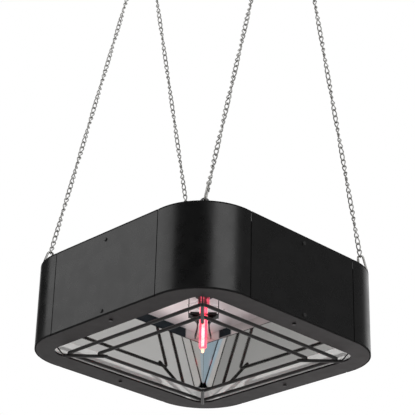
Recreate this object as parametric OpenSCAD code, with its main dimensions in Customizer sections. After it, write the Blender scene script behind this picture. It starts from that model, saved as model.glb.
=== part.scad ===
// Electric patio heater: a square housing with a mirror-lined mouth and one upright lamp,
// hung from two ceiling hooks by four chains. The origin is on the ceiling, midway between
// the two hooks. The sides are named as they are seen from below, with one corner near.

/* [Housing] */
// Width of the square housing, outside
side_w = 420; // [400:2:460]
// Height of the housing, from the bottom frame's face to the top rim
housing_h = 136.5; // [130:0.5:150]
// How far the top plate is set down below the top rim
top_recess = 15; // [15:0.5:16]
// Outside radius of the rounded corners
corner_r = 88; // [70:1:95]
// Distance from a sharp corner to the seam beside the rounded corner
seam_from_corner = 96; // [96:1:110]
// Width of the seam between a corner cover and a side panel
seam_gap = 1.6; // [0.8:0.1:2]
// Sheet steel thickness
sheet_t = 1.5; // [1:0.1:2]
// Width of the lip folded inwards along the top rim
lip_w = 4; // [3:0.5:5]
// Depth of the folds along the seams
fold_d = 12; // [8:1:16]
// Width of the flat bottom frame
frame_w = 40; // [36:1:44]
// Inside corner radius of the bottom frame
mouth_r = 26; // [18:1:34]
// Height of the lower flanges that the side panels are screwed to
flange_h = 15; // [13:1:20]
// Side of the square corner posts
post_w = 12; // [8:1:14]

/* [Screws] */
// Diameter of the screw heads
screw_head_d = 6; // [5:0.5:8]
// Height of the screw heads
screw_head_h = 1.8; // [1:0.2:2.4]
// Diameter of the screw shanks
screw_d = 3.8; // [3:0.1:4]
// Length of the screw shanks
screw_l = 7; // [6:0.5:9]
// Height of the lower panel screws above the frame's face
low_screw_z = 8.5; // [7:0.5:11]
// Distance of the upper panel screws below the top rim
high_screw_drop = 12.5; // [11:0.5:12.5]

/* [Reflector] */
// Height of the leaning skirt round the mouth
skirt_h = 23; // [19:1:26]
// How far the skirt leans inwards over its height
skirt_lean = 8; // [7:0.5:9]
// Thickness of the polished sheet
mirror_t = 0.8; // [0.5:0.1:1]
// Angle of the sloping mirrors above the horizontal
slope_angle = 54.5; // [53:0.5:58]
// How far outside the mouth's edge the mirrors' plane meets the frame's plane
slope_reach = 10; // [9.5:0.5:14]
// Height of the upright collar above the mirrors
collar_h = 15.5; // [12:0.5:18]
// Height left above the reflector for the lamp holder and the wiring
top_room = 37.9; // [37:0.1:41]
// Height of the air gap between the reflector's top and the heat shield
shield_gap = 5; // [4:0.5:6]

/* [Lamp] */
// Outside diameter of the quartz tube
tube_d = 12; // [10:0.5:14]
// Wall thickness of the quartz tube
tube_wall = 1; // [0.8:0.1:1.4]
// Height of the tube's round end above the frame's face
lamp_tip_z = 8; // [6:1:20]
// Diameter of the small closing tip on the tube's round end
nipple_d = 4.5; // [3:0.5:6]
// Length of the small closing tip
nipple_l = 5.5; // [3:0.5:6]
// Diameter of the lamp's ceramic cap
cap_d = 18; // [17:0.5:20]
// How far the cap reaches down below the reflector's top
cap_drop = 16.6; // [16:0.2:20]
// Length of the bracket that steadies the tube
bracket_l = 48; // [44:1:56]
// Width of the bracket's strip
bracket_w = 18; // [17:0.5:20]
// How far the bracket reaches down below the reflector's top
bracket_drop = 35; // [30:0.5:38]
// Diameter of the filament's coil, along the middle of its wire
coil_d = 4; // [3.5:0.5:6]
// Number of turns in the filament
coil_turns = 20; // [12:1:24]
// Distance of the filament's upper end below the cap
coil_drop = 25; // [20:1:28]
// Diameter of the filament's wire
coil_wire = 1; // [0.6:0.1:1.2]

/* [Guard] */
// Width of the guard's outer loop, along the middle of its wire
guard_outer_w = 296; // [280:2:310]
// Width of the guard's inner loop, along the middle of its wire
guard_inner_w = 230; // [190:2:250]
// Diameter of the guard's wire
guard_wire = 5.4; // [4.4:0.2:6]
// Bend radius of the loops' corners, along the middle of the wire
guard_bend_r = 6; // [5:0.5:12]
// Distance of the loops' middle below the frame's face
guard_drop = 2.8; // [2.8:0.1:5]
// How far each diagonal bar runs in past the inner loop, measured along a side
bar_in = 10; // [5:1:20]
// How far each diagonal bar runs out past the outer loop, measured along a side
bar_out = 4; // [3:0.5:6]
// How deep the loops' wires are sunk into the bars
bar_sink = 1.6; // [1:0.1:2]
// Diameter of the spring pins at the bars' ends
pin_d = 2; // [1.6:0.1:2.4]

/* [Hanging] */
// Distance of each hanging eye from the housing's two nearest sides
hang_inset = 31; // [30:0.5:36]
// Height of the load point in each eye above the top plate
eye_rise = 17.5; // [17.5:0.5:20]
// Diameter of the hole in each eye
eye_d = 9; // [8.6:0.1:10]
// Thickness of the eye brackets
eye_t = 2; // [1.6:0.1:2.2]
// Width of the eye brackets
eye_w = 22; // [18:1:26]
// Number of links in each chain
chain_links = 67; // [40:1:80]
// Distance from one link to the next
chain_pitch = 11; // [10.5:0.1:13]
// Diameter of the chain's wire
chain_wire = 2; // [1.6:0.1:2.1]
// Outside width of a chain link
link_w = 8; // [7.9:0.1:9]
// Length of a snap hook, along the middle of its wire
hook_l = 33; // [32:1:42]
// Diameter of the snap hooks' wire
hook_wire = 3.4; // [3:0.1:3.5]
// Bend radius of a snap hook's upper end, along the middle of its wire
hook_top_r = 4.2; // [4:0.1:5]
// Bend radius of a snap hook's lower end, along the middle of its wire
hook_low_r = 6.5; // [6:0.1:8]
// Bend radius of the top rings, along the middle of the wire
ring_r = 15; // [14:0.5:20]
// Diameter of the top rings' wire
ring_wire = 3.4; // [3:0.1:3.5]

/* [Ceiling hooks] */
// Diameter of the ceiling plates
plate_d = 56; // [52:1:70]
// Thickness of the ceiling plates
plate_t = 3; // [2:0.5:5]
// Distance between the two screw holes in a ceiling plate
plate_hole_gap = 38; // [34:1:44]
// Diameter of the screw holes in a ceiling plate
plate_hole_d = 5; // [4:0.1:6]
// Length of a ceiling hook's stem below the plate
stem_l = 14; // [12:1:30]
// Bend radius of a ceiling hook, along the middle of its wire
bend_r = 9; // [8.5:0.5:14]
// Diameter of a ceiling hook's wire
bend_wire = 5; // [4:0.1:6]

/* [Wiring] */
// Bore of the cable gland
gland_bore = 8; // [6:0.5:9]
// Width of the terminal block
block_w = 26; // [22:1:32]
// Height of the terminal block
block_h = 12; // [10:1:14]
// Diameter of the two leads
lead_d = 3; // [2:0.2:3.6]
// Distance between the two leads
lead_gap = 10; // [8:1:12]

/* [Hidden] */
$fn = 48;

// Gap between sheets that lie against each other
seat = 0.3;
// Gap between a loose edge and the panel beside it
edge_gap = 0.5;
// Gap round a screw shank or a pin in its hole
hole_play = 0.2;
// Room above a snap hook's wire in its eye, for the hook's lean
eye_play = 0.8;
// Running gap between a pivot pin and its bore, on the radius
pivot_play = 0.05;

// Screws
screw_hole_r = screw_d / 2 + hole_play;
eye_screw_inset = 15;
eye_screw_gap = 12;

// Housing
half_w = side_w / 2;
mouth_half = half_w - frame_w;
inner_half = half_w - sheet_t - edge_gap;
inner_r = corner_r - sheet_t - edge_gap;
panel_w = side_w - 2 * seam_from_corner - seam_gap;
arc_centre = half_w - corner_r;
top_z = housing_h - top_recess - sheet_t;
plate_z = top_z + sheet_t;
flange_end_gap = 4;
flange_w = panel_w - 2 * sheet_t - 2 * flange_end_gap;
vent_l = 70;
vent_w = 5;
vent_pitch = 12;
vent_rows = 5;
first_vent = 100;
post_wall = 1.5;
post_inset = 3;

// Hanging
hang_y = half_w - hang_inset;
eye_z = plate_z + eye_rise;
link_turn_r = (link_w - chain_wire) / 2;
link_half = (chain_pitch + chain_wire + seat) / 2;
link_arc_z = link_half - link_turn_r;
first_link = ring_r + link_half - (chain_wire + ring_wire) / 2 - seat;
last_link = first_link + (chain_links - 1) * chain_pitch;
hook_top = last_link + link_half - (chain_wire + hook_wire) / 2 - seat;
hang_l = hook_top + hook_l;
hang_drop = sqrt(hang_l * hang_l - hang_y * hang_y);
lean = atan(hang_y / hang_drop);
bend_z = -(plate_t + stem_l + bend_r);
bend_turn = 290;
hook_seat_z = bend_z - bend_r;
ring_z = hook_seat_z + (bend_wire + ring_wire) / 2 + seat - ring_r;
base_z = ring_z - hang_drop - eye_z;
hook_turn = atan(cos(lean));
far_near_twist = 3.4;
left_right_twist = 6.1;
tangent_l = sqrt(pow(hook_l - hook_top_r - hook_low_r, 2) - pow(hook_low_r - hook_top_r, 2));
tangent_angle = atan((hook_low_r - hook_top_r) / tangent_l);
gate_pivot = 3;
stub_tail = 1.6;
gate_pin_r = 0.75;
leg_wire = hook_wire + 0.1;
leg_lap = 0.1;
nose_gap = 0.4;
stub_l = gate_pivot + stub_tail;
nose_l = 3;
cheek_t = 0.8;
gate_start = gate_pivot + norm([leg_wire / 2, stub_tail]) + nose_gap;
gate_end = tangent_l - nose_l - nose_gap;
gate_block_l = 2;
cheek_y = leg_wire / 2 + seat;
eye_diag = hang_y * sqrt(2);

// Reflector
slope_half = mouth_half + slope_reach;
ceiling_z = housing_h - top_room;
collar_z = ceiling_z - collar_h;
slope_top = collar_z - mirror_t - seat;
shield_z = ceiling_z + mirror_t + shield_gap;
skirt_foot_z = sheet_t + seat;
skirt_tab_l = 60;
skirt_tab_w = 28;
mirror_lap = 6;
mirror_low_z = skirt_h - mirror_lap;
collar_half = slope_half - slope_top / tan(slope_angle);
stud_inset = 22;
stud_xy = collar_half - stud_inset;
stud_d = 6;
stud_shoulder = 2;
shield_edge = 15;
shield_hole_gap = 2;

// Lamp
tube_r = tube_d / 2;
cap_r = cap_d / 2;
cap_bore_depth = 10;
tube_play = 0.1;
cap_z = ceiling_z - cap_drop;
cap_l = 26;
holder_wall = 4.5;
holder_rise = 14;
holder_drop = 2;
holder_top_z = shield_z + holder_rise;
foot_t = 3;
bracket_t = 1.2;
bracket_tab = 8;
bracket_play = 0.8;
holder_r = cap_r + seat + holder_wall;
tube_end_t = 1;
tube_top = cap_z + cap_bore_depth - seat;
disc_t = 1;
support_d = 1;
disc_r = (coil_d + coil_wire) / 2;
disc_play = 0.8;
disc_rise = sqrt(max(0, pow(tube_r - tube_wall, 2) - pow(disc_r, 2)));
disc_z = lamp_tip_z + tube_r - disc_rise + disc_play;
coil_low_z = disc_z + disc_t + seat;
coil_high_z = cap_z - coil_drop;

// Cable gland
gland_x = side_w / 6;
stub_d = gland_bore + 8;
stub_h = sheet_t + 1;
hex_d = gland_bore + 18;
hex_h = 6;
nut_d = gland_bore + 14;
nut_h = 14;

// Guard
guard_z = -guard_drop;
bar_gap = 0.1;
bar_z = guard_z - guard_wire + bar_sink;
bar_from = (guard_inner_w / 2 - bar_in) * sqrt(2);
bar_to = (guard_outer_w / 2 + bar_out) * sqrt(2);
pin_target_z = 8;
pin_hole_play = 0.4;
pin_target = (mouth_half - mouth_r) * sqrt(2) + mouth_r - skirt_lean * pin_target_z / skirt_h;
pin_l = norm([pin_target - bar_to, pin_target_z - bar_z]);

function slope_at(z) = slope_half - z / tan(slope_angle);

// Moves what is drawn in the heater's own height to its place below the ceiling
module heater() {
    translate([0, 0, base_z]) children();
}

// Turns what is drawn along the far corner's diagonal to one of the four corners
module at_corner(turn) {
    heater() rotate([0, 0, turn + 45]) children();
}

// Mirrors what is drawn for the far corner to one of the four corners
module corner_copy(side_x, side_y) {
    mirror([side_x < 0 ? 1 : 0, 0, 0]) mirror([0, side_y < 0 ? 1 : 0, 0]) children();
}

module rounded_square(width, radius) {
    square([width - 2 * radius, width], center = true);
    square([width, width - 2 * radius], center = true);
    for (x = [-1, 1], y = [-1, 1]) {
        translate([x * (width / 2 - radius), y * (width / 2 - radius)]) circle(r = radius);
    }
}

// Sweeps a profile round a square: its X is the distance outside the corner's centre
module swept_frame(centre) {
    for (turn = [0 : 90 : 270]) {
        rotate([0, 0, turn]) {
            translate([centre, 0, 0]) rotate([90, 0, 0])
                linear_extrude(height = 2 * centre, center = true) children();
            translate([centre, centre, 0]) rotate_extrude(angle = 90) children();
        }
    }
}

// A screw along Z with its head's underside at zero and its head below
module screw() {
    translate([0, 0, -screw_head_h]) cylinder(d = screw_head_d, h = screw_head_h);
    cylinder(d = screw_d, h = screw_l);
}

// Ceiling hooks and top rings
module ceiling_hook(side) {
    color("silver") translate([0, side * hang_y, 0]) {
        difference() {
            translate([0, 0, -plate_t]) cylinder(d = plate_d, h = plate_t);
            for (x = [-1, 1]) {
                translate([x * plate_hole_gap / 2, 0, -plate_t - 1])
                    cylinder(d = plate_hole_d, h = plate_t + 2);
            }
        }
        translate([0, 0, bend_z + bend_r]) cylinder(d = bend_wire, h = stem_l);
        translate([0, 0, bend_z]) rotate([90, 0, 90]) rotate([0, 0, 90])
            rotate_extrude(angle = bend_turn) translate([bend_r, 0]) circle(d = bend_wire);
        translate([0, bend_r * cos(90 + bend_turn), bend_z + bend_r * sin(90 + bend_turn)])
            sphere(d = bend_wire);
    }
}

module top_ring(side) {
    color("gainsboro") translate([0, side * hang_y, ring_z]) rotate([90, 0, 0])
        rotate_extrude() translate([ring_r, 0]) circle(d = ring_wire);
}

// Chains: the local Z runs up the chain from its lower end to the top ring
module along_chain(side_x, side_y) {
    corner_copy(side_x, side_y) translate([0, hang_y, ring_z]) rotate([0, -lean, 0]) children();
}

module chain_link() {
    for (end = [-1, 1]) {
        translate([0, 0, end * link_arc_z]) rotate([90, 0, 0]) rotate([0, 0, end > 0 ? 0 : 180])
            rotate_extrude(angle = 180) translate([link_turn_r, 0]) circle(d = chain_wire);
        translate([end * link_turn_r, 0, -link_arc_z]) cylinder(d = chain_wire, h = 2 * link_arc_z);
    }
}

// Turn of one link about the chain: a quarter turn a link, and a slow twist that squares the
// first link to the top ring and the last one to the snap hook
function link_turn(i, slow) =
    let (steps = chain_links - 1, half_turns = round((steps * (90 + slow) - hook_turn) / 180))
    90 + (hook_turn + 180 * half_turns) * i / steps;

module chain(side_x, side_y, slow) {
    color("silver") along_chain(side_x, side_y) {
        for (i = [0 : chain_links - 1]) {
            translate([0, 0, -first_link - i * chain_pitch])
                rotate([0, 0, link_turn(i, slow)]) chain_link();
        }
    }
}

// Snap hooks: the local X points outwards, and the local Z runs down the gate's side
module at_hook(side_x, side_y) {
    along_chain(side_x, side_y) translate([0, 0, -hook_top]) rotate([0, 0, hook_turn]) children();
}

module gate_side() {
    translate([-hook_top_r * cos(tangent_angle), 0, -hook_top_r * (1 - sin(tangent_angle))])
        rotate([0, 180 + tangent_angle, 0]) children();
}

module hook_bow(radius, from_angle, angle) {
    rotate([90, 0, 0]) rotate([0, 0, from_angle])
        rotate_extrude(angle = angle) translate([radius, 0]) circle(d = hook_wire);
}

module snap_hook(side_x, side_y) {
    color("silver") at_hook(side_x, side_y) {
        translate([0, 0, -hook_top_r]) hook_bow(hook_top_r, tangent_angle, 180 - 2 * tangent_angle);
        translate([0, 0, -hook_l + hook_low_r])
            hook_bow(hook_low_r, 180 - tangent_angle, 180 + 2 * tangent_angle);
        mirror([1, 0, 0]) gate_side() translate([0, 0, -leg_lap])
            cylinder(d = leg_wire, h = tangent_l + 2 * leg_lap);
        gate_side() {
            translate([0, 0, -leg_lap]) cylinder(d = leg_wire, h = stub_l + leg_lap);
            translate([0, 0, tangent_l - nose_l]) cylinder(d = leg_wire, h = nose_l + leg_lap);
            translate([0, 0, gate_pivot]) rotate([90, 0, 0])
                cylinder(r = gate_pin_r, h = 2 * (cheek_y + cheek_t + seat), center = true);
        }
    }
}

module gate(side_x, side_y) {
    color("gainsboro") at_hook(side_x, side_y) gate_side() {
        translate([0, 0, gate_start]) cylinder(d = hook_wire, h = gate_end - gate_start);
        translate([-hook_wire / 2, -cheek_y - cheek_t, gate_start])
            cube([hook_wire, 2 * (cheek_y + cheek_t), gate_block_l]);
        for (side = [-1, 1]) {
            translate([0, side * (cheek_y + cheek_t / 2), gate_pivot]) rotate([90, 0, 0])
                difference() {
                    union() {
                        cylinder(d = hook_wire, h = cheek_t, center = true);
                        translate([-hook_wire / 2, 0, -cheek_t / 2])
                            cube([hook_wire, gate_start - gate_pivot + gate_block_l / 2, cheek_t]);
                    }
                    cylinder(r = gate_pin_r + pivot_play, h = 2 * cheek_t, center = true);
                }
        }
    }
}

// Housing
module panel_screw_places() {
    for (turn = [0 : 90 : 270], z = [low_screw_z, housing_h - high_screw_drop]) {
        rotate([0, 0, turn]) translate([half_w, 0, z]) rotate([0, -90, 0]) children();
    }
}

module side_panel(turn) {
    color("dimgray") heater() difference() {
        rotate([0, 0, turn]) {
            translate([half_w - sheet_t, -panel_w / 2, 0]) cube([sheet_t, panel_w, housing_h]);
            translate([half_w - lip_w, -panel_w / 2, housing_h - sheet_t])
                cube([lip_w, panel_w, sheet_t]);
            for (end = [-1, 1]) {
                translate([half_w - fold_d, end * (panel_w - sheet_t) / 2 - sheet_t / 2, sheet_t + seat])
                    cube([fold_d, sheet_t, top_z - sheet_t - 2 * seat]);
            }
        }
        panel_screw_places() translate([0, 0, -1]) cylinder(r = screw_hole_r, h = sheet_t + 2);
    }
}

module corner_cover(turn) {
    flat = seam_from_corner - corner_r - seam_gap / 2;
    color([0.2, 0.2, 0.2]) heater() rotate([0, 0, turn]) translate([arc_centre, arc_centre, 0]) {
        rotate_extrude(angle = 90) {
            translate([corner_r - sheet_t, 0]) square([sheet_t, housing_h]);
            translate([corner_r - lip_w, housing_h - sheet_t]) square([lip_w, sheet_t]);
        }
        for (side = [0, 1]) {
            mirror([side, -side, 0]) {
                translate([corner_r - sheet_t, -flat, 0]) cube([sheet_t, flat, housing_h]);
                translate([corner_r - lip_w, -flat, housing_h - sheet_t]) cube([lip_w, flat, sheet_t]);
                translate([corner_r - fold_d, -flat, sheet_t + seat])
                    cube([fold_d, sheet_t, top_z - sheet_t - 2 * seat]);
            }
        }
    }
}

module side_flanges(from_z, height) {
    for (turn = [0 : 90 : 270]) {
        rotate([0, 0, turn]) translate([inner_half - sheet_t, -flange_w / 2, from_z])
            cube([sheet_t, flange_w, height]);
    }
}

module bottom_frame() {
    color([0.25, 0.24, 0.24]) heater() difference() {
        union() {
            linear_extrude(height = sheet_t) difference() {
                rounded_square(2 * inner_half, inner_r);
                rounded_square(2 * mouth_half, mouth_r);
            }
            side_flanges(sheet_t, flange_h);
        }
        panel_screw_places() cylinder(r = screw_hole_r, h = screw_l);
        frame_screw_places() translate([0, 0, -1]) cylinder(r = screw_hole_r, h = screw_l);
    }
}

module top_plate() {
    color([0.15, 0.15, 0.15]) heater() difference() {
        union() {
            translate([0, 0, top_z]) linear_extrude(height = sheet_t)
                rounded_square(2 * inner_half, inner_r);
            side_flanges(plate_z, top_recess - sheet_t - seat);
        }
        panel_screw_places() cylinder(r = screw_hole_r, h = screw_l);
        eye_screw_places() translate([0, 0, -1]) cylinder(r = screw_hole_r, h = screw_l + 2);
        translate([gland_x, 0, top_z - 1]) cylinder(d = stub_d + 2 * hole_play, h = sheet_t + 2);
        for (turn = [0 : 90 : 270], row = [1 : vent_rows]) {
            rotate([0, 0, turn]) translate([first_vent + vent_pitch * (row - 1), -vent_l / 2, top_z - 1])
                cube([vent_w, vent_l, sheet_t + 2]);
        }
    }
}

module post(turn) {
    post_l = top_z - sheet_t;
    color("gray") at_corner(turn) translate([eye_diag - post_inset, 0, sheet_t + post_l / 2]) difference() {
        cube([post_w, post_w, post_l], center = true);
        cube([post_w - 2 * post_wall, post_w - 2 * post_wall, post_l + 2], center = true);
    }
}

module eye_bracket(turn) {
    foot_l = 26;
    eye_rim = 2.5;
    hole_z = eye_z + hook_wire / 2 + eye_play - eye_d / 2;
    tab_r = eye_d / 2 + eye_rim;
    color("gray") at_corner(turn) difference() {
        union() {
            translate([eye_diag + eye_t / 2 - foot_l, -eye_w / 2, plate_z]) cube([foot_l, eye_w, eye_t]);
            translate([eye_diag - eye_t / 2, -tab_r, plate_z]) cube([eye_t, 2 * tab_r, hole_z - plate_z]);
            translate([eye_diag, 0, hole_z]) rotate([0, 90, 0])
                cylinder(r = tab_r, h = eye_t, center = true);
        }
        translate([eye_diag, 0, hole_z]) rotate([0, 90, 0])
            cylinder(d = eye_d, h = 3 * eye_t, center = true);
        rotate([0, 0, -turn - 45]) eye_screw_places() translate([0, 0, -1])
            cylinder(r = screw_hole_r, h = screw_l);
    }
}

// Screws
module frame_screw_places() {
    for (turn = [0 : 90 : 270]) {
        rotate([0, 0, turn]) translate([half_w - frame_w / 2, 0, 0]) children();
    }
}

module eye_screw_places() {
    for (turn = [0 : 90 : 270], side = [-1, 1]) {
        rotate([0, 0, turn + 45])
            translate([eye_diag - eye_screw_inset, side * eye_screw_gap / 2, plate_z + eye_t])
                rotate([180, 0, 0]) children();
    }
}

module panel_screws() {
    color([0.1, 0.1, 0.1]) heater() panel_screw_places() screw();
}

module frame_screws() {
    color([0.1, 0.1, 0.1]) heater() frame_screw_places() screw();
}

module eye_screws() {
    color("silver") heater() eye_screw_places() screw();
}

// Reflector
module skirt() {
    foot_r = mouth_r;
    head_r = mouth_r - skirt_lean;
    color("lightgray") heater() difference() {
        union() {
            swept_frame(mouth_half - mouth_r) polygon([
                [foot_r, skirt_foot_z], [foot_r + mirror_t, skirt_foot_z],
                [head_r + mirror_t, skirt_h], [head_r, skirt_h]
            ]);
            for (turn = [0 : 90 : 270]) {
                rotate([0, 0, turn]) translate([mouth_half + mirror_t / 4, -skirt_tab_l / 2, skirt_foot_z])
                    cube([skirt_tab_w, skirt_tab_l, mirror_t]);
            }
        }
        frame_screw_places() cylinder(r = screw_hole_r, h = screw_l);
        guard_pin_places() cylinder(r = pin_d / 2 + pin_hole_play, h = 2 * pin_l);
    }
}

module mirror_panel(turn) {
    low_w = slope_at(mirror_low_z) - seat;
    high_w = collar_half - seat;
    slope_l = (slope_top - mirror_low_z) / sin(slope_angle);
    color("lightgray") heater() rotate([0, 0, turn - 90])
        translate([0, slope_at(mirror_low_z), mirror_low_z]) rotate([180 - slope_angle, 0, 0])
            translate([0, 0, -mirror_t]) linear_extrude(height = mirror_t)
                polygon([[-low_w, 0], [low_w, 0], [high_w, slope_l], [-high_w, slope_l]]);
}

module collar() {
    width = 2 * collar_half;
    color("lightgray") heater() translate([0, 0, collar_z]) linear_extrude(height = collar_h)
        difference() {
            square(width + 2 * mirror_t, center = true);
            square(width, center = true);
        }
}

module reflector_top() {
    width = 2 * collar_half + 2 * mirror_t;
    color("lightgray") heater() translate([0, 0, ceiling_z]) linear_extrude(height = mirror_t)
        difference() {
            square(width, center = true);
            circle(r = holder_r + seat);
        }
}

module reflector_studs() {
    foot_z = ceiling_z + mirror_t;
    color("silver") heater() for (x = [-1, 1], y = [-1, 1]) {
        translate([x * stud_xy, y * stud_xy, foot_z]) {
            cylinder(d = stud_d, h = top_z - foot_z - seat);
            cylinder(d = stud_d + 2 * stud_shoulder, h = shield_gap - seat);
        }
    }
}

module heat_shield() {
    color("silver") heater() translate([0, 0, shield_z]) linear_extrude(height = mirror_t)
        difference() {
            square(2 * (stud_xy + shield_edge), center = true);
            circle(r = holder_r + holder_wall + shield_hole_gap);
            for (x = [-1, 1], y = [-1, 1]) {
                translate([x * stud_xy, y * stud_xy]) circle(d = stud_d + 2 * hole_play);
            }
        }
}

// Lamp
module lamp_bracket() {
    leg_x = (bracket_l - bracket_t) / 2;
    color([0.3, 0.3, 0.3]) heater() translate([0, 0, ceiling_z - bracket_drop]) rotate([0, 0, 135]) {
        difference() {
            translate([-bracket_l / 2, -bracket_w / 2, 0]) cube([bracket_l, bracket_w, bracket_t]);
            translate([0, 0, -1]) cylinder(r = tube_r + bracket_play, h = bracket_t + 2);
        }
        for (side = [-1, 1]) {
            translate([side * leg_x - bracket_t / 2, -bracket_w / 2, 0])
                cube([bracket_t, bracket_w, bracket_drop]);
            translate([side * (leg_x + bracket_tab / 2), 0, bracket_drop - bracket_t / 2])
                cube([bracket_tab, bracket_w, bracket_t], center = true);
        }
    }
}

module lamp_holder() {
    low_z = ceiling_z - holder_drop;
    color("ivory") heater() difference() {
        union() {
            translate([0, 0, low_z]) cylinder(r = holder_r, h = holder_top_z - low_z);
            translate([0, 0, ceiling_z + mirror_t]) cylinder(r = holder_r + holder_wall, h = foot_t);
        }
        translate([0, 0, low_z - 1])
            cylinder(r = cap_r + seat, h = cap_z + cap_l + seat - low_z + 1);
    }
}

module lamp_cap() {
    color("ivory") heater() translate([0, 0, cap_z]) difference() {
        cylinder(r = cap_r, h = cap_l);
        translate([0, 0, -1]) cylinder(r = tube_r + tube_play, h = cap_bore_depth + 1);
    }
}

module lamp_tube() {
    bore_r = tube_r - tube_wall;
    dome_z = lamp_tip_z + tube_r;
    nipple_r = nipple_d / 2;
    nipple_y = nipple_r - tube_r - nipple_l;
    color([0.9, 0.3, 0.35, 0.5]) heater() translate([0, 0, dome_z]) rotate_extrude() difference() {
        union() {
            intersection() {
                circle(r = tube_r);
                translate([0, -tube_r]) square([tube_r, tube_r]);
            }
            square([tube_r, tube_top - dome_z]);
            translate([0, nipple_y]) intersection() {
                circle(r = nipple_r);
                translate([0, -nipple_r]) square(nipple_r);
            }
            translate([0, nipple_y]) square([nipple_r, -nipple_y]);
        }
        intersection() {
            circle(r = bore_r);
            translate([0, -tube_r]) square([tube_r, tube_r]);
        }
        square([bore_r, tube_top - dome_z - tube_end_t]);
    }
}

// The filament is one helix of round wire, as rings of points along the coil
coil_sides = 6;
coil_rings = 8;
coil_pitch = (coil_high_z - coil_low_z - coil_wire) / coil_turns;
coil_steps = coil_turns * coil_rings;
coil_points = [
    for (i = [0 : coil_steps])
        let (angle = 360 * i / coil_rings, height = coil_low_z + coil_wire / 2 + coil_pitch * i / coil_rings)
        [coil_d / 2 * cos(angle), coil_d / 2 * sin(angle), height]
];
coil_gap = min([
    for (i = [0 : coil_steps - coil_rings]) norm(coil_points[i + coil_rings] - coil_points[i]) - coil_wire
]);
echo(filament_least_gap = coil_gap);

function coil_ring(i) =
    let (
        angle = 360 * i / coil_rings,
        outward = [cos(angle), sin(angle), 0],
        climb = atan(coil_pitch / (PI * coil_d)),
        across = [sin(angle) * sin(climb), -cos(angle) * sin(climb), cos(climb)]
    )
    [
        for (k = [0 : coil_sides - 1])
            let (around = 360 * k / coil_sides)
            coil_points[i] + coil_wire / 2 * (cos(around) * outward + sin(around) * across)
    ];

module lamp_filament() {
    last = coil_steps * coil_sides;
    points = [for (i = [0 : coil_steps]) each coil_ring(i)];
    sides = [
        for (i = [0 : coil_steps - 1], k = [0 : coil_sides - 1])
            let (
                a = i * coil_sides + k,
                b = i * coil_sides + (k + 1) % coil_sides
            )
            each [[a, b, a + coil_sides], [b, b + coil_sides, a + coil_sides]]
    ];
    ends = [
        for (k = [1 : coil_sides - 2])
            each [[0, k + 1, k], [last, last + k, last + k + 1]]
    ];
    color("gold") heater() polyhedron(points = points, faces = concat(sides, ends));
}

module lamp_support() {
    color("silver") heater() translate([0, 0, disc_z]) {
        cylinder(r = disc_r, h = disc_t);
        cylinder(d = support_d, h = tube_top - tube_end_t - seat - disc_z);
    }
}

// Wiring
module terminal_block() {
    color("ivory") heater() translate([gland_x - block_w / 2, -block_w / 2, shield_z + mirror_t])
        cube([block_w, block_w, block_h]);
}

module leads() {
    from_x = sqrt(pow(holder_r, 2) - pow((lead_gap + lead_d) / 2, 2)) + seat + 1;
    color("white") heater() for (side = [-1, 1]) {
        translate([from_x, side * lead_gap / 2, shield_z + mirror_t + block_h / 2]) rotate([0, 90, 0])
            cylinder(d = lead_d, h = gland_x - block_w / 2 - from_x - seat);
    }
}

module gland_body() {
    color([0.15, 0.15, 0.15]) heater() translate([gland_x, 0, plate_z]) difference() {
        union() {
            cylinder(d = hex_d, h = hex_h, $fn = 6);
            translate([0, 0, -stub_h]) cylinder(d = stub_d, h = stub_h);
        }
        translate([0, 0, -stub_h - 1]) cylinder(d = gland_bore, h = hex_h + stub_h + 2);
    }
}

module gland_nut() {
    color([0.1, 0.1, 0.1]) heater() translate([gland_x, 0, plate_z + hex_h]) difference() {
        cylinder(d = nut_d, h = nut_h);
        translate([0, 0, -1]) cylinder(d = gland_bore, h = nut_h + 2);
    }
}

// Guard
module wire_loop(width, wire) {
    straight = width - 2 * guard_bend_r;
    translate([0, 0, guard_z]) for (turn = [0 : 90 : 270]) {
        rotate([0, 0, turn]) {
            translate([width / 2, 0, 0]) rotate([90, 0, 0])
                cylinder(d = wire, h = straight, center = true);
            translate([straight / 2, straight / 2, 0]) rotate_extrude(angle = 90)
                translate([guard_bend_r, 0]) circle(d = wire);
        }
    }
}

module guard_outer() {
    color([0.2, 0.2, 0.2]) heater() wire_loop(guard_outer_w, guard_wire);
}

module guard_inner() {
    color([0.2, 0.2, 0.2]) heater() wire_loop(guard_inner_w, guard_wire);
}

// Puts the Z axis along each spring pin, from a bar's end towards the skirt
module guard_pin_places() {
    for (turn = [0 : 90 : 270]) {
        rotate([0, 0, turn + 45]) translate([bar_to, 0, bar_z])
            rotate([0, atan((pin_target - bar_to) / (pin_target_z - bar_z)), 0]) children();
    }
}

module guard_bars() {
    color([0.2, 0.2, 0.2]) heater() {
        difference() {
            for (turn = [0 : 90 : 270]) {
                rotate([0, 0, turn + 45]) {
                    translate([bar_from, 0, bar_z]) rotate([0, 90, 0])
                        cylinder(d = guard_wire, h = bar_to - bar_from);
                    translate([bar_to, 0, bar_z]) sphere(d = guard_wire);
                    translate([bar_from, 0, bar_z]) sphere(d = guard_wire);
                }
            }
            for (width = [guard_outer_w, guard_inner_w]) {
                wire_loop(width, guard_wire + 2 * bar_gap);
            }
        }
        guard_pin_places() cylinder(d = pin_d, h = pin_l);
    }
}

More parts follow.
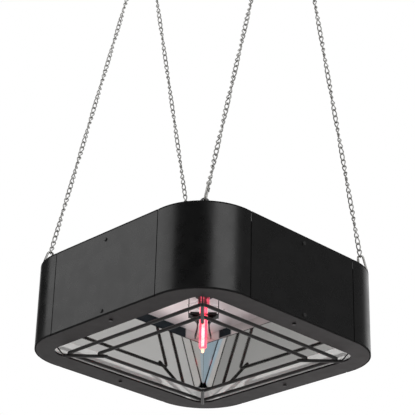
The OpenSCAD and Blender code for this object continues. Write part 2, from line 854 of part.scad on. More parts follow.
ceiling_hook(1);  // ceiling_hook_left
ceiling_hook(-1);  // ceiling_hook_right
top_ring(1);  // top_ring_left
top_ring(-1);  // top_ring_right
chain(1, 1, far_near_twist);  // chain_far
chain(-1, 1, left_right_twist);  // chain_left
chain(-1, -1, far_near_twist);  // chain_near
chain(1, -1, left_right_twist);  // chain_right
snap_hook(1, 1);  // snap_hook_far
snap_hook(-1, 1);  // snap_hook_left
snap_hook(-1, -1);  // snap_hook_near
snap_hook(1, -1);  // snap_hook_right
gate(1, 1);  // gate_far
gate(-1, 1);  // gate_left
gate(-1, -1);  // gate_near
gate(1, -1);  // gate_right
side_panel(0);  // side_far_right
side_panel(90);  // side_far_left
side_panel(180);  // side_near_left
side_panel(270);  // side_near_right
corner_cover(0);  // corner_far
corner_cover(90);  // corner_left
corner_cover(180);  // corner_near
corner_cover(270);  // corner_right
bottom_frame();
top_plate();
post(0);  // post_far
post(90);  // post_left
post(180);  // post_near
post(270);  // post_right
eye_bracket(0);  // eye_far
eye_bracket(90);  // eye_left
eye_bracket(180);  // eye_near
eye_bracket(270);  // eye_right
panel_screws();
frame_screws();
eye_screws();
skirt();
mirror_panel(0);  // mirror_far_right
mirror_panel(90);  // mirror_far_left
mirror_panel(180);  // mirror_near_left
mirror_panel(270);  // mirror_near_right
collar();
reflector_top();
reflector_studs();
heat_shield();
lamp_bracket();
lamp_holder();
lamp_cap();
lamp_tube();
lamp_filament();
lamp_support();
terminal_block();
leads();
gland_body();
gland_nut();
guard_outer();
guard_inner();
guard_bars();
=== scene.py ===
"""Electric patio heater: looks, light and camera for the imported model.

Metres, in the part's own frame: the origin is on the ceiling between the two hooks, +Z up.
"""
from math import asin, atan, cos, pi, radians, sin

import bmesh
import bpy
from mathutils import Matrix, Vector


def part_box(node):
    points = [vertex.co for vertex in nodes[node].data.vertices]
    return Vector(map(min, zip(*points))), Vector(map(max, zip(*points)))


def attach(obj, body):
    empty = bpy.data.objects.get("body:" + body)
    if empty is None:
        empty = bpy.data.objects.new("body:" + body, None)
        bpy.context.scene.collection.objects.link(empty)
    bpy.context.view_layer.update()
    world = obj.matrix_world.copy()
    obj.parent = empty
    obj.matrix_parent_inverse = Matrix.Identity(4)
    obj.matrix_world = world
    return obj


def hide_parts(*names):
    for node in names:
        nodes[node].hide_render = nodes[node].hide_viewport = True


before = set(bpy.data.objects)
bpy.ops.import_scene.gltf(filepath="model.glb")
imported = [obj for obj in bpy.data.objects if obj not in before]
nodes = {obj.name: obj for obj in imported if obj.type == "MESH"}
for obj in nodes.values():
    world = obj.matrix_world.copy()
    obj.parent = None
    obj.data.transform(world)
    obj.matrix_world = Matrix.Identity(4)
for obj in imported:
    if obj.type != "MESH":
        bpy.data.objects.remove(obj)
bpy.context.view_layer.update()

# Heights and half sizes that the frame gives
base_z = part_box("bottom_frame")[0][2]
half_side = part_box("side_far_right")[1][0]
top_rim_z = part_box("side_far_right")[1][2]
ring_low, ring_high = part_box("top_ring_left")

# Chains, as in the part's source
hang_y = (ring_low[1] + ring_high[1]) / 2
ring_z = (ring_low[2] + ring_high[2]) / 2
HANG_L = 0.7813
CHAIN_LEAN = asin(hang_y / HANG_L)
HOOK_TURN = atan(cos(CHAIN_LEAN))
FIRST_LINK = 0.01865
CHAIN_LINKS = 67
CHAIN_PITCH = 0.011
CHAIN_WIRE = 0.002
LINK_HALF_W = 0.003
LINK_HALF_L = 0.00665

# Twist of the chains: half the twist of one link and the share of its length that is twisted, the first
# link's turn, and a slow wobble between the ends
LINK_TWIST = radians(45)
LINK_TWISTED = 0.8
FIRST_TURN = radians(135)
WOBBLE = 0.9
WOBBLE_WAVES = 3.0

# Faces of a link: along each bend, along each leg and round the wire
BEND_STEPS = 9
LEG_STEPS = 5
WIRE_STEPS = 8

# Spring arms of the lamp's bracket, and the gussets that join them to it: radius from the lamp's axis and
# height over the bottom frame's face. Each arm is a smooth curve from the top to the waist and another to the
# foot, and the handles give their directions.
CLIP_TOP = Vector((0.0208, 0.0640))
CLIP_TOP_HANDLE = Vector((0.0152, 0.0576))
CLIP_WAIST = Vector((0.0088, 0.0480))
CLIP_WAIST_UPPER_HANDLE = Vector((0.0088, 0.0586))
CLIP_WAIST_LOWER_HANDLE = Vector((0.0088, 0.0420))
CLIP_FOOT_HANDLE = Vector((0.0108, 0.0338))
CLIP_FOOT = Vector((0.0124, 0.0280))
CLIP_UPPER_STEPS = 8
CLIP_LOWER_STEPS = 5
CLIP_SHEET = 0.0018
CLIP_DEPTH = 0.014
GUSSET_INNER = 0.0069
GUSSET_LOW = 0.051
GUSSET_TOP = 0.0705
GUSSET_SHARE = 0.15

# Rounded edges of the folded sheets
EDGE_WIDTH = 0.0006
EDGE_STEPS = 2
EDGE_ANGLE = radians(40)

# The photograph's camera: places in half sides from the middle of the bottom frame's face
CAMERA_PLACE = Vector((-7.0831, -7.2136, -3.8094))
CAMERA_YAW = radians(45.465)
CAMERA_PITCH = radians(26.410)
CAMERA_ROLL = radians(1.379)
FOCAL_PER_WIDTH = 1456.13 / 415
SENSOR_WIDTH = 36.0

# Heights over the bottom frame's face: of the panels' rims of painted shade (the upper one is as high), of
# the skirt's edge of painted shade and of the tube's yellow tip
PANEL_RIM = 0.0022
SKIRT_SHADE = 0.0026
TUBE_TIP = 0.0085

# Painted shade on the collar, dark bands that stand for the unlit gap above the mirrors, past its inner face:
# from and to along X on the far left side, and along Y and above a height on the far right one
COLLAR_FACE = 0.118
SHADE_LEFT = (-0.13, 0.079)
SHADE_RIGHT = (0.058, 0.086)
SHADE_RIGHT_LOW = 0.084
SHADE_SOFT = 0.0015

# Heat tint of the far right mirror: where its edge starts along Y, and how far that edge leans with height
HEAT_TINT_START = 0.190
HEAT_TINT_SLANT = 1.386
HEAT_TINT_SOFT = 0.002

# Painted shade on the reflector's top, a darker side: where X is larger than Y by this
TOP_SHADE_START = 0.03
TOP_SHADE_SOFT = 0.025

# Bright sheet of the mirrors and the skirt
MIRROR_COLOR = (0.90, 0.89, 0.87)
MIRROR_ROUGH = 0.04
SKIRT_ROUGH = 0.04

# The backdrop, and the room that gloss and glass see: its colours, how far up the horizon reaches, and where
# the far side begins
WHITE = (1.0, 1.0, 1.0, 1.0)
HORIZON = (0.56, 0.56, 0.55, 1.0)
ROOM = (0.03, 0.03, 0.03, 1.0)
HORIZON_TOP = 0.30
FAR_X_WEIGHT = 1.73
FAR_START = 1.28
FAR_FULL = 1.7

# The floor: its place and size, how far out it fades into the backdrop, and how faded it is at the middle
FLOOR_Z = base_z - 1.6
FLOOR_HALF = 5.0
FLOOR_CELLS = 8
FLOOR_FADE = (1.0, FLOOR_HALF * 0.9)
FLOOR_PALE = 0.88

# Lamps beside the heater: the middle that they light, their distance, and rows of name, azimuth, elevation,
# size and power
LIT_MIDDLE = Vector((0, 0, base_z + 0.06))
SIDE_DISTANCE = 3.0
SIDE_LAMPS = (
    ("left_softbox", 144, 26, (2.4, 2.0), 20),
    ("front_strip", 262, 26, (2.1, 1.8), 24),
    ("right_softbox", 316, 26, (2.2, 1.6), 1.3),
)

# Lamps over and under the heater: height over the bottom frame's face, size and power
OVERHEAD = (3.0, 4.0, 64)
FILL_BELOW = (-1.5, 1.0, 12)

# Lamps that light spots of the floor: name, X, Y, height, size, power and colour
FLOOR_LAMPS = (
    ("floor_right", 2.3, -2.3, 1.3, 2.2, 8.5, (1.0, 1.0, 1.0)),
    ("floor_far", 0.95, 0.95, 0.6, 1.6, 15, (1.0, 0.95, 0.95)),
    ("floor_frame", 4.4, 2.4, 0.8, 1.6, 16, (1.0, 0.93, 0.94)),
)


def add_object(name, data):
    added = bpy.data.objects.new(name, data)
    bpy.context.scene.collection.objects.link(added)
    return added


def add_shape(name, shape, material):
    """An object from a bmesh, which is freed."""
    mesh = bpy.data.meshes.new(name)
    shape.to_mesh(mesh)
    shape.free()
    mesh.materials.append(material)
    return add_object(name, mesh)


def add_skin(shape, rings, smooth=False):
    """Faces between each ring of vertices and the next."""
    for a, b in zip(rings, rings[1:]):
        for k in range(len(a)):
            following = (k + 1) % len(a)
            shape.faces.new((a[k], a[following], b[following], b[k])).smooth = smooth


def add_solid(shape, rings):
    """Faces between the rings, and one at each end."""
    add_skin(shape, rings)
    shape.faces.new(rings[0])
    shape.faces.new(reversed(rings[-1]))


def add_camera():
    data = bpy.data.cameras.new("camera")
    camera = add_object("camera", data)
    flat = cos(CAMERA_PITCH)
    forward = Vector((flat * cos(CAMERA_YAW), flat * sin(CAMERA_YAW), sin(CAMERA_PITCH)))
    level = Vector((sin(CAMERA_YAW), -cos(CAMERA_YAW), 0))
    up = level.cross(forward)
    right = level * cos(CAMERA_ROLL) + up * sin(CAMERA_ROLL)
    up = -level * sin(CAMERA_ROLL) + up * cos(CAMERA_ROLL)
    place = CAMERA_PLACE * half_side + Vector((0, 0, base_z))
    turn = Matrix((right, up, -forward)).transposed().to_4x4()
    camera.matrix_world = Matrix.Translation(place) @ turn
    data.sensor_width = SENSOR_WIDTH
    data.lens = SENSOR_WIDTH * FOCAL_PER_WIDTH
    data.clip_start = 0.01
    data.clip_end = 60
    bpy.context.scene.camera = camera


class Nodes:
    """A node tree, with short calls for the nodes used here. A value is a node's output or a plain value."""

    def __init__(self, tree):
        self.tree = tree

    def link(self, source, target):
        self.tree.links.new(source, target)

    def feed(self, value, socket):
        if isinstance(value, bpy.types.NodeSocket):
            self.link(value, socket)
        else:
            socket.default_value = value

    def ramp(self, factor, low, high, start=0.3, end=0.7):
        node = self.tree.nodes.new("ShaderNodeValToRGB")
        elements = node.color_ramp.elements
        elements[0].position, elements[0].color = start, low
        elements[1].position, elements[1].color = end, high
        self.link(factor, node.inputs["Fac"])
        return node.outputs["Color"]

    def map_range(self, value, start, end, low=0.0, high=1.0):
        node = self.tree.nodes.new("ShaderNodeMapRange")
        node.inputs["From Min"].default_value = start
        node.inputs["From Max"].default_value = end
        node.inputs["To Min"].default_value = low
        node.inputs["To Max"].default_value = high
        self.link(value, node.inputs["Value"])
        return node.outputs["Result"]

    def math(self, operation, a, b):
        node = self.tree.nodes.new("ShaderNodeMath")
        node.operation = operation
        self.feed(a, node.inputs[0])
        self.feed(b, node.inputs[1])
        return node.outputs["Value"]

    def both(self, a, b):
        return self.math("MULTIPLY", a, b)

    def either(self, a, b):
        return self.math("MAXIMUM", a, b)

    def parts(self, vector):
        """A vector's X, Y and Z."""
        node = self.tree.nodes.new("ShaderNodeSeparateXYZ")
        self.link(vector, node.inputs["Vector"])
        return node.outputs

    def mix_shaders(self, factor, a, b):
        node = self.tree.nodes.new("ShaderNodeMixShader")
        self.link(factor, node.inputs["Fac"])
        self.link(a, node.inputs[1])
        self.link(b, node.inputs[2])
        return node.outputs["Shader"]


class Shader(Nodes):
    """A new material's nodes."""

    def __init__(self, name):
        self.material = bpy.data.materials.new(name)
        self.material.use_nodes = True
        super().__init__(self.material.node_tree)
        self.surface = self.tree.nodes["Principled BSDF"]
        self.output = self.tree.nodes["Material Output"]
        self.place = self.tree.nodes.new("ShaderNodeTexCoord").outputs["Object"]

    def set(self, **values):
        """Sets the surface's inputs, or links them to node outputs."""
        for name, value in values.items():
            self.feed(value, self.surface.inputs[name.replace("_", " ")])

    def noise(self, scale, detail, stretch=None):
        node = self.tree.nodes.new("ShaderNodeTexNoise")
        node.inputs["Scale"].default_value = scale
        node.inputs["Detail"].default_value = detail
        if stretch:
            mapping = self.tree.nodes.new("ShaderNodeMapping")
            mapping.inputs["Scale"].default_value = stretch
            self.link(self.place, mapping.inputs["Vector"])
            self.link(mapping.outputs["Vector"], node.inputs["Vector"])
        else:
            self.link(self.place, node.inputs["Vector"])
        return node.outputs["Fac"]

    def span(self, factor, low, high):
        """Maps a factor's middle range, 0.3 to 0.7, to low .. high."""
        return self.map_range(factor, 0.3, 0.7, low, high)

    def around(self, factor, middle, spread):
        return self.span(factor, middle - spread, middle + spread)

    def bump(self, height, strength, distance):
        node = self.tree.nodes.new("ShaderNodeBump")
        node.inputs["Strength"].default_value = strength
        node.inputs["Distance"].default_value = distance
        self.link(height, node.inputs["Height"])
        self.link(node.outputs["Normal"], self.surface.inputs["Normal"])

    def waves(self, strength=0.12, distance=0.0006):
        """The slow waviness of thin sheet."""
        self.bump(self.noise(7, detail=1), strength, distance)

    def axes(self):
        """The place on the object along X, Y and Z."""
        return self.parts(self.place)

    def above(self, value, limit, soft=0.0002):
        """Goes from 0 to 1 where the value passes the limit."""
        return self.map_range(value, limit - soft, limit + soft)

    def within(self, value, low, high, soft=0.0002):
        return self.math("SUBTRACT", self.above(value, low, soft), self.above(value, high, soft))

    def mix(self, factor, a, b):
        node = self.tree.nodes.new("ShaderNodeMix")
        node.data_type = "RGBA"
        self.link(factor, node.inputs["Factor"])
        colors = [socket for socket in node.inputs if socket.type == "RGBA"]
        self.feed(a, colors[0])
        self.feed(b, colors[1])
        return [socket for socket in node.outputs if socket.type == "RGBA"][0]


def tint(color, factor):
    return (color[0] * factor, color[1] * factor, color[2] * factor, 1.0)


def painted(name, color, roughness, rims=None, specular=0.5):
    """Powder-coated sheet: faint mottling, uneven gloss and a fine orange-peel bump. Past the rims, a low and
    a high place along Z, the folded edges are painted near black and fully rough, as painted shade."""
    shader = Shader(name)
    shade = shader.ramp(shader.noise(14, detail=4), tint(color, 0.8), tint(color, 1.2))
    gloss = shader.span(shader.noise(40, detail=5), roughness - 0.04, roughness + 0.05)
    if rims:
        # Painted shade: past the rims the folded edges are near black, as if unlit
        rim = shader.math("SUBTRACT", 1.0, shader.within(shader.axes()["Z"], *rims))
        shade = shader.mix(rim, shade, (0.001, 0.001, 0.001, 1))
        gloss = shader.either(gloss, rim)
    shader.bump(shader.noise(900, detail=2), strength=0.25, distance=0.00002)
    shader.set(Base_Color=shade, Roughness=gloss, Specular_IOR_Level=specular)
    return shader.material


def bare_metal(name, color, roughness, grain=None):
    """Plated or brushed metal with uneven gloss and a fine grain."""
    shader = Shader(name)
    shade = shader.ramp(shader.noise(30, detail=4), tint(color, 0.88), tint(color, 1.06))
    gloss = shader.around(shader.noise(500, detail=3, stretch=grain), roughness, 0.06)
    shader.bump(shader.noise(500, detail=2, stretch=grain), strength=0.3, distance=0.00001)
    shader.set(Base_Color=shade, Roughness=gloss, Metallic=1.0)
    return shader.material


def plain_matte(name, color, roughness, grain=300):
    """Ceramic, plastic or sleeving with a faint cloud and a fine grain."""
    shader = Shader(name)
    cloud = shader.noise(60, detail=4)
    shade = shader.ramp(cloud, tint(color, 0.85), tint(color, 1.1))
    shader.bump(shader.noise(grain, detail=3), strength=0.3, distance=0.00003)
    shader.set(Base_Color=shade, Roughness=shader.around(cloud, roughness, 0.08))
    return shader.material


def polished_sheet(name, heat_tint=None):
    """Mirror-finished sheet with a slow waviness and faint wipe marks. A heat tint is a colour beside the far
    crease of the far right mirror."""
    shader = Shader(name)
    wipe = shader.noise(9, detail=5, stretch=(1, 1, 3))
    shade = shader.ramp(wipe, tint(MIRROR_COLOR, 0.95), tint(MIRROR_COLOR, 1.02))
    if heat_tint:
        axes = shader.axes()
        slant = shader.math("ADD", axes["Y"], shader.both(axes["Z"], HEAT_TINT_SLANT))
        start = HEAT_TINT_SLANT * base_z + HEAT_TINT_START
        shade = shader.mix(shader.above(slant, start, HEAT_TINT_SOFT), shade, heat_tint)
    shader.waves()
    gloss = shader.span(wipe, MIRROR_ROUGH * 0.7, MIRROR_ROUGH * 1.4)
    shader.set(Base_Color=shade, Roughness=gloss, Metallic=1.0)
    return shader.material


def painted_shade_collar(name):
    """Polished collar with painted shade: a dark band on the far left side and a dark patch beside the far
    corner, standing for the unlit gap above the mirrors.
    """
    shader = Shader(name)
    wipe = shader.noise(9, detail=4)
    unshaded = shader.ramp(wipe, (0.80, 0.79, 0.78, 1), (0.86, 0.85, 0.84, 1))
    x, y, z = shader.axes()
    # Painted shade: the dark bands stand for the unlit gap between the mirrors' tops and the ceiling
    left = shader.both(shader.within(x, *SHADE_LEFT, SHADE_SOFT), shader.above(y, COLLAR_FACE))
    high = shader.above(z, base_z + SHADE_RIGHT_LOW, SHADE_SOFT)
    patch = shader.both(high, shader.within(y, *SHADE_RIGHT, SHADE_SOFT))
    right = shader.both(patch, shader.above(x, COLLAR_FACE))
    shade = shader.mix(shader.either(left, right), unshaded, (0.028, 0.038, 0.044, 1))
    shader.waves()
    shader.set(Base_Color=shade, Roughness=shader.span(wipe, 0.08, 0.16), Metallic=1.0)
    return shader.material


def satin_skirt(name):
    """Brushed bright sheet whose lower edge is near black, as painted shade on the lip of the mouth."""
    shader = Shader(name)
    brush = shader.noise(600, detail=3, stretch=(1, 1, 8))
    bright = shader.ramp(brush, (0.92, 0.92, 0.91, 1), (0.97, 0.97, 0.96, 1))
    # Painted shade: black below this height stands for the shaded lip at the mouth's edge
    unshaded_part = shader.above(shader.axes()["Z"], base_z + SKIRT_SHADE)
    shade = shader.mix(unshaded_part, (0.003, 0.003, 0.003, 1), bright)
    shader.bump(brush, strength=0.1, distance=0.000002)
    shader.set(Base_Color=shade, Roughness=shader.around(brush, SKIRT_ROUGH, 0.01), Metallic=0.5)
    return shader.material


def satin_top(name):
    """Satin ceiling with a faint pink painted glow of the lamp, and painted shade that makes it darker on the
    right of the lamp.
    """
    shader = Shader(name)
    cloud = shader.noise(20, detail=2)
    # Painted light: the pink tint stands for the lamp's glow on the ceiling
    unshaded = shader.ramp(cloud, (0.93, 0.83, 0.84, 1), (0.97, 0.86, 0.87, 1))
    # Painted shade: a darker copy for the right of the lamp
    shaded_side = shader.ramp(cloud, (0.53, 0.47, 0.48, 1), (0.57, 0.50, 0.51, 1))
    axes = shader.axes()
    right = shader.above(shader.math("SUBTRACT", axes["X"], axes["Y"]), TOP_SHADE_START, TOP_SHADE_SOFT)
    shade = shader.mix(right, unshaded, shaded_side)
    shader.waves(strength=0.1, distance=0.0003)
    shader.set(Base_Color=shade, Roughness=shader.span(cloud, 0.27, 0.31), Metallic=0.5)
    return shader.material


def quartz_glass(name):
    """Clear tube that glows red, and yellow at its closing tip."""
    shader = Shader(name)
    cloud = shader.noise(70, detail=2)
    glass = shader.ramp(cloud, (1.0, 0.36, 0.40, 1), (1.0, 0.52, 0.54, 1))
    body = shader.above(shader.axes()["Z"], base_z + TUBE_TIP, soft=0.001)
    red = shader.ramp(cloud, (0.85, 0.04, 0.09, 1), (1.0, 0.07, 0.13, 1))
    glow = shader.mix(body, (1.6, 0.95, 0.45, 1), red)
    shader.set(Base_Color=glass, Transmission_Weight=1.0, IOR=1.45, Roughness=0.03)
    shader.set(Emission_Color=glow, Emission_Strength=0.8)
    return shader.material


def glowing_coil(name):
    """The lamp's filament, nearly white."""
    shader = Shader(name)
    glow = shader.ramp(shader.noise(120, detail=2), (1.0, 0.80, 0.62, 1), (1.0, 0.95, 0.85, 1))
    shader.set(Base_Color=(1.0, 0.8, 0.6, 1), Emission_Color=glow, Emission_Strength=2.6)
    return shader.material


def glowing_seal(name):
    """The lamp's upper end: dark sealed quartz with patches that glow red."""
    shader = Shader(name)
    cloud = shader.noise(130, detail=2)
    shade = shader.ramp(cloud, (0.05, 0.012, 0.014, 1), (0.35, 0.06, 0.07, 1), start=0.35, end=0.65)
    glow = shader.ramp(cloud, (0.02, 0.001, 0.002, 1), (1.0, 0.10, 0.18, 1), start=0.46, end=0.60)
    shader.set(Base_Color=shade, Emission_Color=glow, Emission_Strength=0.9, Roughness=0.3)
    return shader.material


def studio_floor(name):
    """Matte floor. The camera sees it pale and fading into the white backdrop, and not at all from below."""
    shader = Shader(name)
    shade = shader.ramp(shader.noise(2, detail=2), (0.77, 0.77, 0.77, 1), (0.80, 0.80, 0.80, 1))
    shader.set(Base_Color=shade, Roughness=0.8)
    path = shader.tree.nodes.new("ShaderNodeLightPath")
    pale = shader.tree.nodes.new("ShaderNodeEmission")
    side = shader.tree.nodes.new("ShaderNodeNewGeometry")
    clear = shader.tree.nodes.new("ShaderNodeBsdfTransparent")
    distance = shader.tree.nodes.new("ShaderNodeVectorMath")
    distance.operation = "LENGTH"
    shader.link(shader.place, distance.inputs[0])
    fade = shader.map_range(distance.outputs["Value"], *FLOOR_FADE, low=FLOOR_PALE)
    fade = shader.both(fade, path.outputs["Is Camera Ray"])
    seen = shader.mix_shaders(fade, shader.surface.outputs["BSDF"], pale.outputs["Emission"])
    below = shader.both(side.outputs["Backfacing"], path.outputs["Is Camera Ray"])
    shader.link(shader.mix_shaders(below, seen, clear.outputs["BSDF"]), shader.output.inputs["Surface"])
    return shader.material


def give(material, *names):
    for name in names:
        mesh = nodes[name].data
        mesh.materials.clear()
        mesh.materials.append(material)


def named(*starts):
    return [name for name in nodes if name.startswith(starts)]


def add_materials():
    rims = (base_z + PANEL_RIM, top_rim_z - PANEL_RIM)
    give(painted("black_paint", (0.0045, 0.0045, 0.0047), 0.28, rims=rims), *named("side_", "corner_"))
    give(painted("frame_paint", (0.010, 0.0080, 0.0082), 0.36, specular=0.20), "bottom_frame")
    give(painted("top_paint", (0.014, 0.014, 0.014), 0.5), "top_plate")
    give(polished_sheet("polished_sheet"), *named("mirror_"))
    give(polished_sheet("heat_tinted_sheet", heat_tint=(0.66, 0.86, 1.0, 1)), "mirror_far_right")
    give(satin_skirt("satin_skirt"), "skirt")
    give(painted_shade_collar("painted_shade_collar"), "collar")
    give(satin_top("satin_top"), "reflector_top")
    give(bare_metal("nickel", (0.45, 0.445, 0.43), 0.2), *named("chain_", "snap_hook_", "gate_", "top_ring_"))
    give(bare_metal("zinc", (0.42, 0.42, 0.43), 0.35), *named("ceiling_hook_", "post_", "eye_"),
         "reflector_studs", "lamp_support")
    give(bare_metal("shield_sheet", (0.6, 0.6, 0.6), 0.4, grain=(1, 30, 1)), "heat_shield")
    give(painted("screw_black", (0.03, 0.03, 0.03), 0.4), "panel_screws")
    give(painted("frame_screw_black", (0.022, 0.020, 0.020), 0.4), "frame_screws")
    give(painted("guard_black", (0.011, 0.0100, 0.0100), 0.4), *named("guard_"), "lamp_bracket")
    give(plain_matte("ceramic", (0.75, 0.72, 0.66), 0.55), "terminal_block")
    give(plain_matte("dark_ceramic", (0.035, 0.03, 0.03), 0.5), "lamp_holder")
    give(glowing_seal("glowing_seal"), "lamp_cap")
    give(plain_matte("sleeve", (0.6, 0.58, 0.54), 0.6, grain=1500), "leads")
    give(plain_matte("black_plastic", (0.02, 0.02, 0.02), 0.45), "gland_body", "gland_nut")
    give(quartz_glass("quartz"), "lamp_tube")
    give(glowing_coil("hot_coil"), "lamp_filament")


def bevel(*names):
    for name in names:
        modifier = nodes[name].modifiers.new("edge", "BEVEL")
        modifier.width = EDGE_WIDTH
        modifier.segments = EDGE_STEPS
        modifier.limit_method = "ANGLE"
        modifier.angle_limit = EDGE_ANGLE


def link_rings(turn):
    """One twisted link: rings of points round its wire. Its middle is at zero and its length along Z."""
    leg = LINK_HALF_L - LINK_HALF_W
    flat = []
    for end in (1, -1):
        for i in range(BEND_STEPS + 1):
            angle = pi * i / BEND_STEPS
            flat.append((end * LINK_HALF_W * cos(angle), end * (leg + LINK_HALF_W * sin(angle))))
        for i in range(1, LEG_STEPS):
            flat.append((-end * LINK_HALF_W, end * (leg - 2 * leg * i / LEG_STEPS)))
    path = []
    across = []
    for x, z in flat:
        share = max(-1.0, min(1.0, z / (LINK_TWISTED * LINK_HALF_L)))
        twist = turn - LINK_TWIST * sin(share * pi / 2)
        path.append(Vector((x * cos(twist), x * sin(twist), z)))
        across.append(Vector((-sin(twist), cos(twist), 0)))
    wire_angles = [2 * pi * k / WIRE_STEPS for k in range(WIRE_STEPS)]
    rings = []
    for i, point in enumerate(path):
        along = (path[(i + 1) % len(path)] - path[i - 1]).normalized()
        side = (across[i] - along * across[i].dot(along)).normalized()
        up = along.cross(side)
        spokes = [side * cos(angle) + up * sin(angle) for angle in wire_angles]
        rings.append([point + spoke * CHAIN_WIRE / 2 for spoke in spokes])
    return rings


def add_chain(corner, side_x, side_y, body, half_turns):
    """A chain of twisted links in place of the plain one. Its half turns on the way down leave it square to
    the top ring and to the snap hook."""
    place = (Matrix.Diagonal((side_x, side_y, 1, 1)) @ Matrix.Translation((0, hang_y, ring_z))
             @ Matrix.Rotation(-CHAIN_LEAN, 4, "Y"))
    slow_turn = HOOK_TURN - pi / 2 + pi * half_turns
    waves = WOBBLE_WAVES + half_turns % 2
    shape = bmesh.new()
    for i in range(CHAIN_LINKS):
        share = i / (CHAIN_LINKS - 1)
        wobble = WOBBLE * sin(2 * pi * waves * share) * share * (1 - share)
        turn = FIRST_TURN + slow_turn * share + wobble
        drop = Vector((0, 0, -FIRST_LINK - i * CHAIN_PITCH))
        rings = [[shape.verts.new(place @ (point + drop)) for point in ring] for ring in link_rings(turn)]
        add_skin(shape, rings + rings[:1], smooth=True)
    bmesh.ops.recalc_face_normals(shape, faces=shape.faces)
    chain = add_shape("twisted_chain_" + corner, shape, nodes["chain_" + corner].data.materials[0])
    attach(chain, body)
    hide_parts("chain_" + corner)


def add_chains():
    add_chain("far", 1, 1, "chains_left", 9)
    add_chain("left", -1, 1, "chains_left", 8)
    add_chain("near", -1, -1, "chains_right", 9)
    add_chain("right", 1, -1, "chains_right", 10)


def curve_points(start, start_handle, end_handle, end, steps):
    """Points along a smooth curve, both its ends too."""
    points = []
    for i in range(steps + 1):
        share = i / steps
        rest = 1 - share
        points.append(start * rest ** 3 + start_handle * (3 * rest ** 2 * share)
                      + end_handle * (3 * rest * share ** 2) + end * share ** 3)
    return points


def add_spring_arm(shape, along, across):
    """One curved spring arm on the side of the lamp that along points to, and its gusset."""
    def place(point):
        radius, height = point
        return along * radius + Vector((0, 0, base_z + height))

    upper = curve_points(CLIP_TOP, CLIP_TOP_HANDLE, CLIP_WAIST_UPPER_HANDLE, CLIP_WAIST, CLIP_UPPER_STEPS)
    lower = curve_points(CLIP_WAIST, CLIP_WAIST_LOWER_HANDLE, CLIP_FOOT_HANDLE, CLIP_FOOT, CLIP_LOWER_STEPS)
    curve = [place(point) for point in upper + lower[1:]]
    deep = across * CLIP_DEPTH / 2
    rings = []
    for i, point in enumerate(curve):
        run = (curve[min(i + 1, len(curve) - 1)] - curve[max(i - 1, 0)]).normalized()
        out = run.cross(across) * CLIP_SHEET / 2
        corners = (out + deep, out - deep, -out - deep, -out + deep)
        rings.append([shape.verts.new(point + corner) for corner in corners])
    add_solid(shape, rings)
    joined = [point for point in upper if point.y >= GUSSET_LOW]
    outline = [(GUSSET_INNER, GUSSET_TOP), (CLIP_TOP.x, GUSSET_TOP), *joined, (GUSSET_INNER, joined[-1].y)]
    faces = (-deep * GUSSET_SHARE, deep * GUSSET_SHARE)
    add_solid(shape, [[shape.verts.new(place(point) + face) for point in outline] for face in faces])


def add_spring_clip():
    """The lamp's bracket with two curved spring arms that grip the tube, in place of the plain bracket."""
    bracket = nodes["lamp_bracket"]
    shape = bmesh.new()
    shape.from_mesh(bracket.data)
    shape.transform(bracket.matrix_world)
    along = Vector((1, -1, 0)).normalized()
    across = Vector((1, 1, 0)).normalized()
    add_spring_arm(shape, -along, across)
    add_spring_arm(shape, along, across)
    bmesh.ops.recalc_face_normals(shape, faces=shape.faces)
    clip = add_shape("spring_clip", shape, bracket.data.materials[0])
    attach(clip, "heater")
    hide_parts("lamp_bracket")


def add_floor():
    shape = bmesh.new()
    bmesh.ops.create_grid(shape, x_segments=FLOOR_CELLS, y_segments=FLOOR_CELLS, size=FLOOR_HALF)
    floor = add_shape("floor", shape, studio_floor("floor_paint"))
    floor.location.z = FLOOR_Z


def aim(azimuth, elevation):
    """Unit vector from the heater; azimuth 0 is +X and 90 is +Y."""
    flat = cos(radians(elevation))
    return Vector((flat * cos(radians(azimuth)), flat * sin(radians(azimuth)), sin(radians(elevation))))


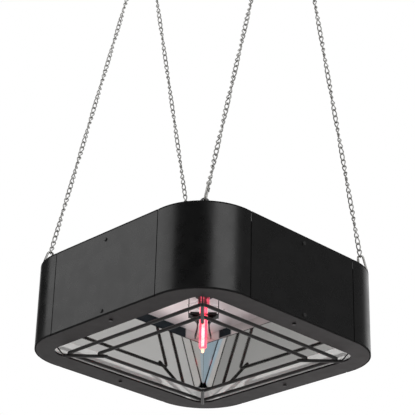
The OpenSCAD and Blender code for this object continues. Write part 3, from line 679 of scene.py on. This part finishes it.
def softbox(name, place, target, size, power, color=(1, 1, 1)):
    """A rectangular lamp that the camera doesn't see."""
    data = bpy.data.lights.new(name, "AREA")
    data.shape = "RECTANGLE"
    data.size, data.size_y = size
    data.energy = power
    data.color = color
    light = add_object(name, data)
    light.location = place
    light.rotation_euler = (place - target).to_track_quat("Z", "Y").to_euler()
    light.visible_camera = False
    return light


def add_world():
    """A white backdrop for the camera, and on the far side for gloss and glass too. Elsewhere gloss and glass
    see a dim room with a bright horizon."""
    world = bpy.data.worlds.new("studio")
    bpy.context.scene.world = world
    world.use_nodes = True
    sky = Nodes(world.node_tree)
    x, y, z = sky.parts(sky.tree.nodes.new("ShaderNodeTexCoord").outputs["Generated"])
    room = sky.tree.nodes["Background"]
    sky.link(sky.ramp(z, HORIZON, ROOM, start=0.0, end=HORIZON_TOP), room.inputs["Color"])
    backdrop = sky.tree.nodes.new("ShaderNodeBackground")
    backdrop.inputs["Color"].default_value = WHITE
    path = sky.tree.nodes.new("ShaderNodeLightPath")
    far = sky.map_range(sky.math("ADD", sky.both(x, FAR_X_WEIGHT), y), FAR_START, FAR_FULL)
    gloss = sky.either(path.outputs["Is Glossy Ray"], path.outputs["Is Transmission Ray"])
    white = sky.either(path.outputs["Is Camera Ray"], sky.both(gloss, far))
    shown = sky.mix_shaders(white, room.outputs["Background"], backdrop.outputs["Background"])
    sky.link(shown, sky.tree.nodes["World Output"].inputs["Surface"])


def add_light():
    add_world()
    for name, azimuth, elevation, size, power in SIDE_LAMPS:
        softbox(name, LIT_MIDDLE + aim(azimuth, elevation) * SIDE_DISTANCE, LIT_MIDDLE, size, power)
    height, size, power = OVERHEAD
    softbox("overhead", Vector((0, 0, base_z + height)), LIT_MIDDLE, (size, size), power)
    for name, x, y, height, size, power, color in FLOOR_LAMPS:
        spot = Vector((x, y, FLOOR_Z))
        softbox(name, spot + Vector((0, 0, height)), spot, (size, size), power, color)
    height, size, power = FILL_BELOW
    fill = softbox("fill_below", Vector((0, 0, base_z + height)), LIT_MIDDLE, (size, size), power)
    fill.visible_glossy = False


bpy.context.scene.view_settings.view_transform = "Standard"
add_camera()
add_materials()
bevel(*named("side_", "corner_"), "bottom_frame")
add_chains()
add_spring_clip()
add_floor()
add_light()
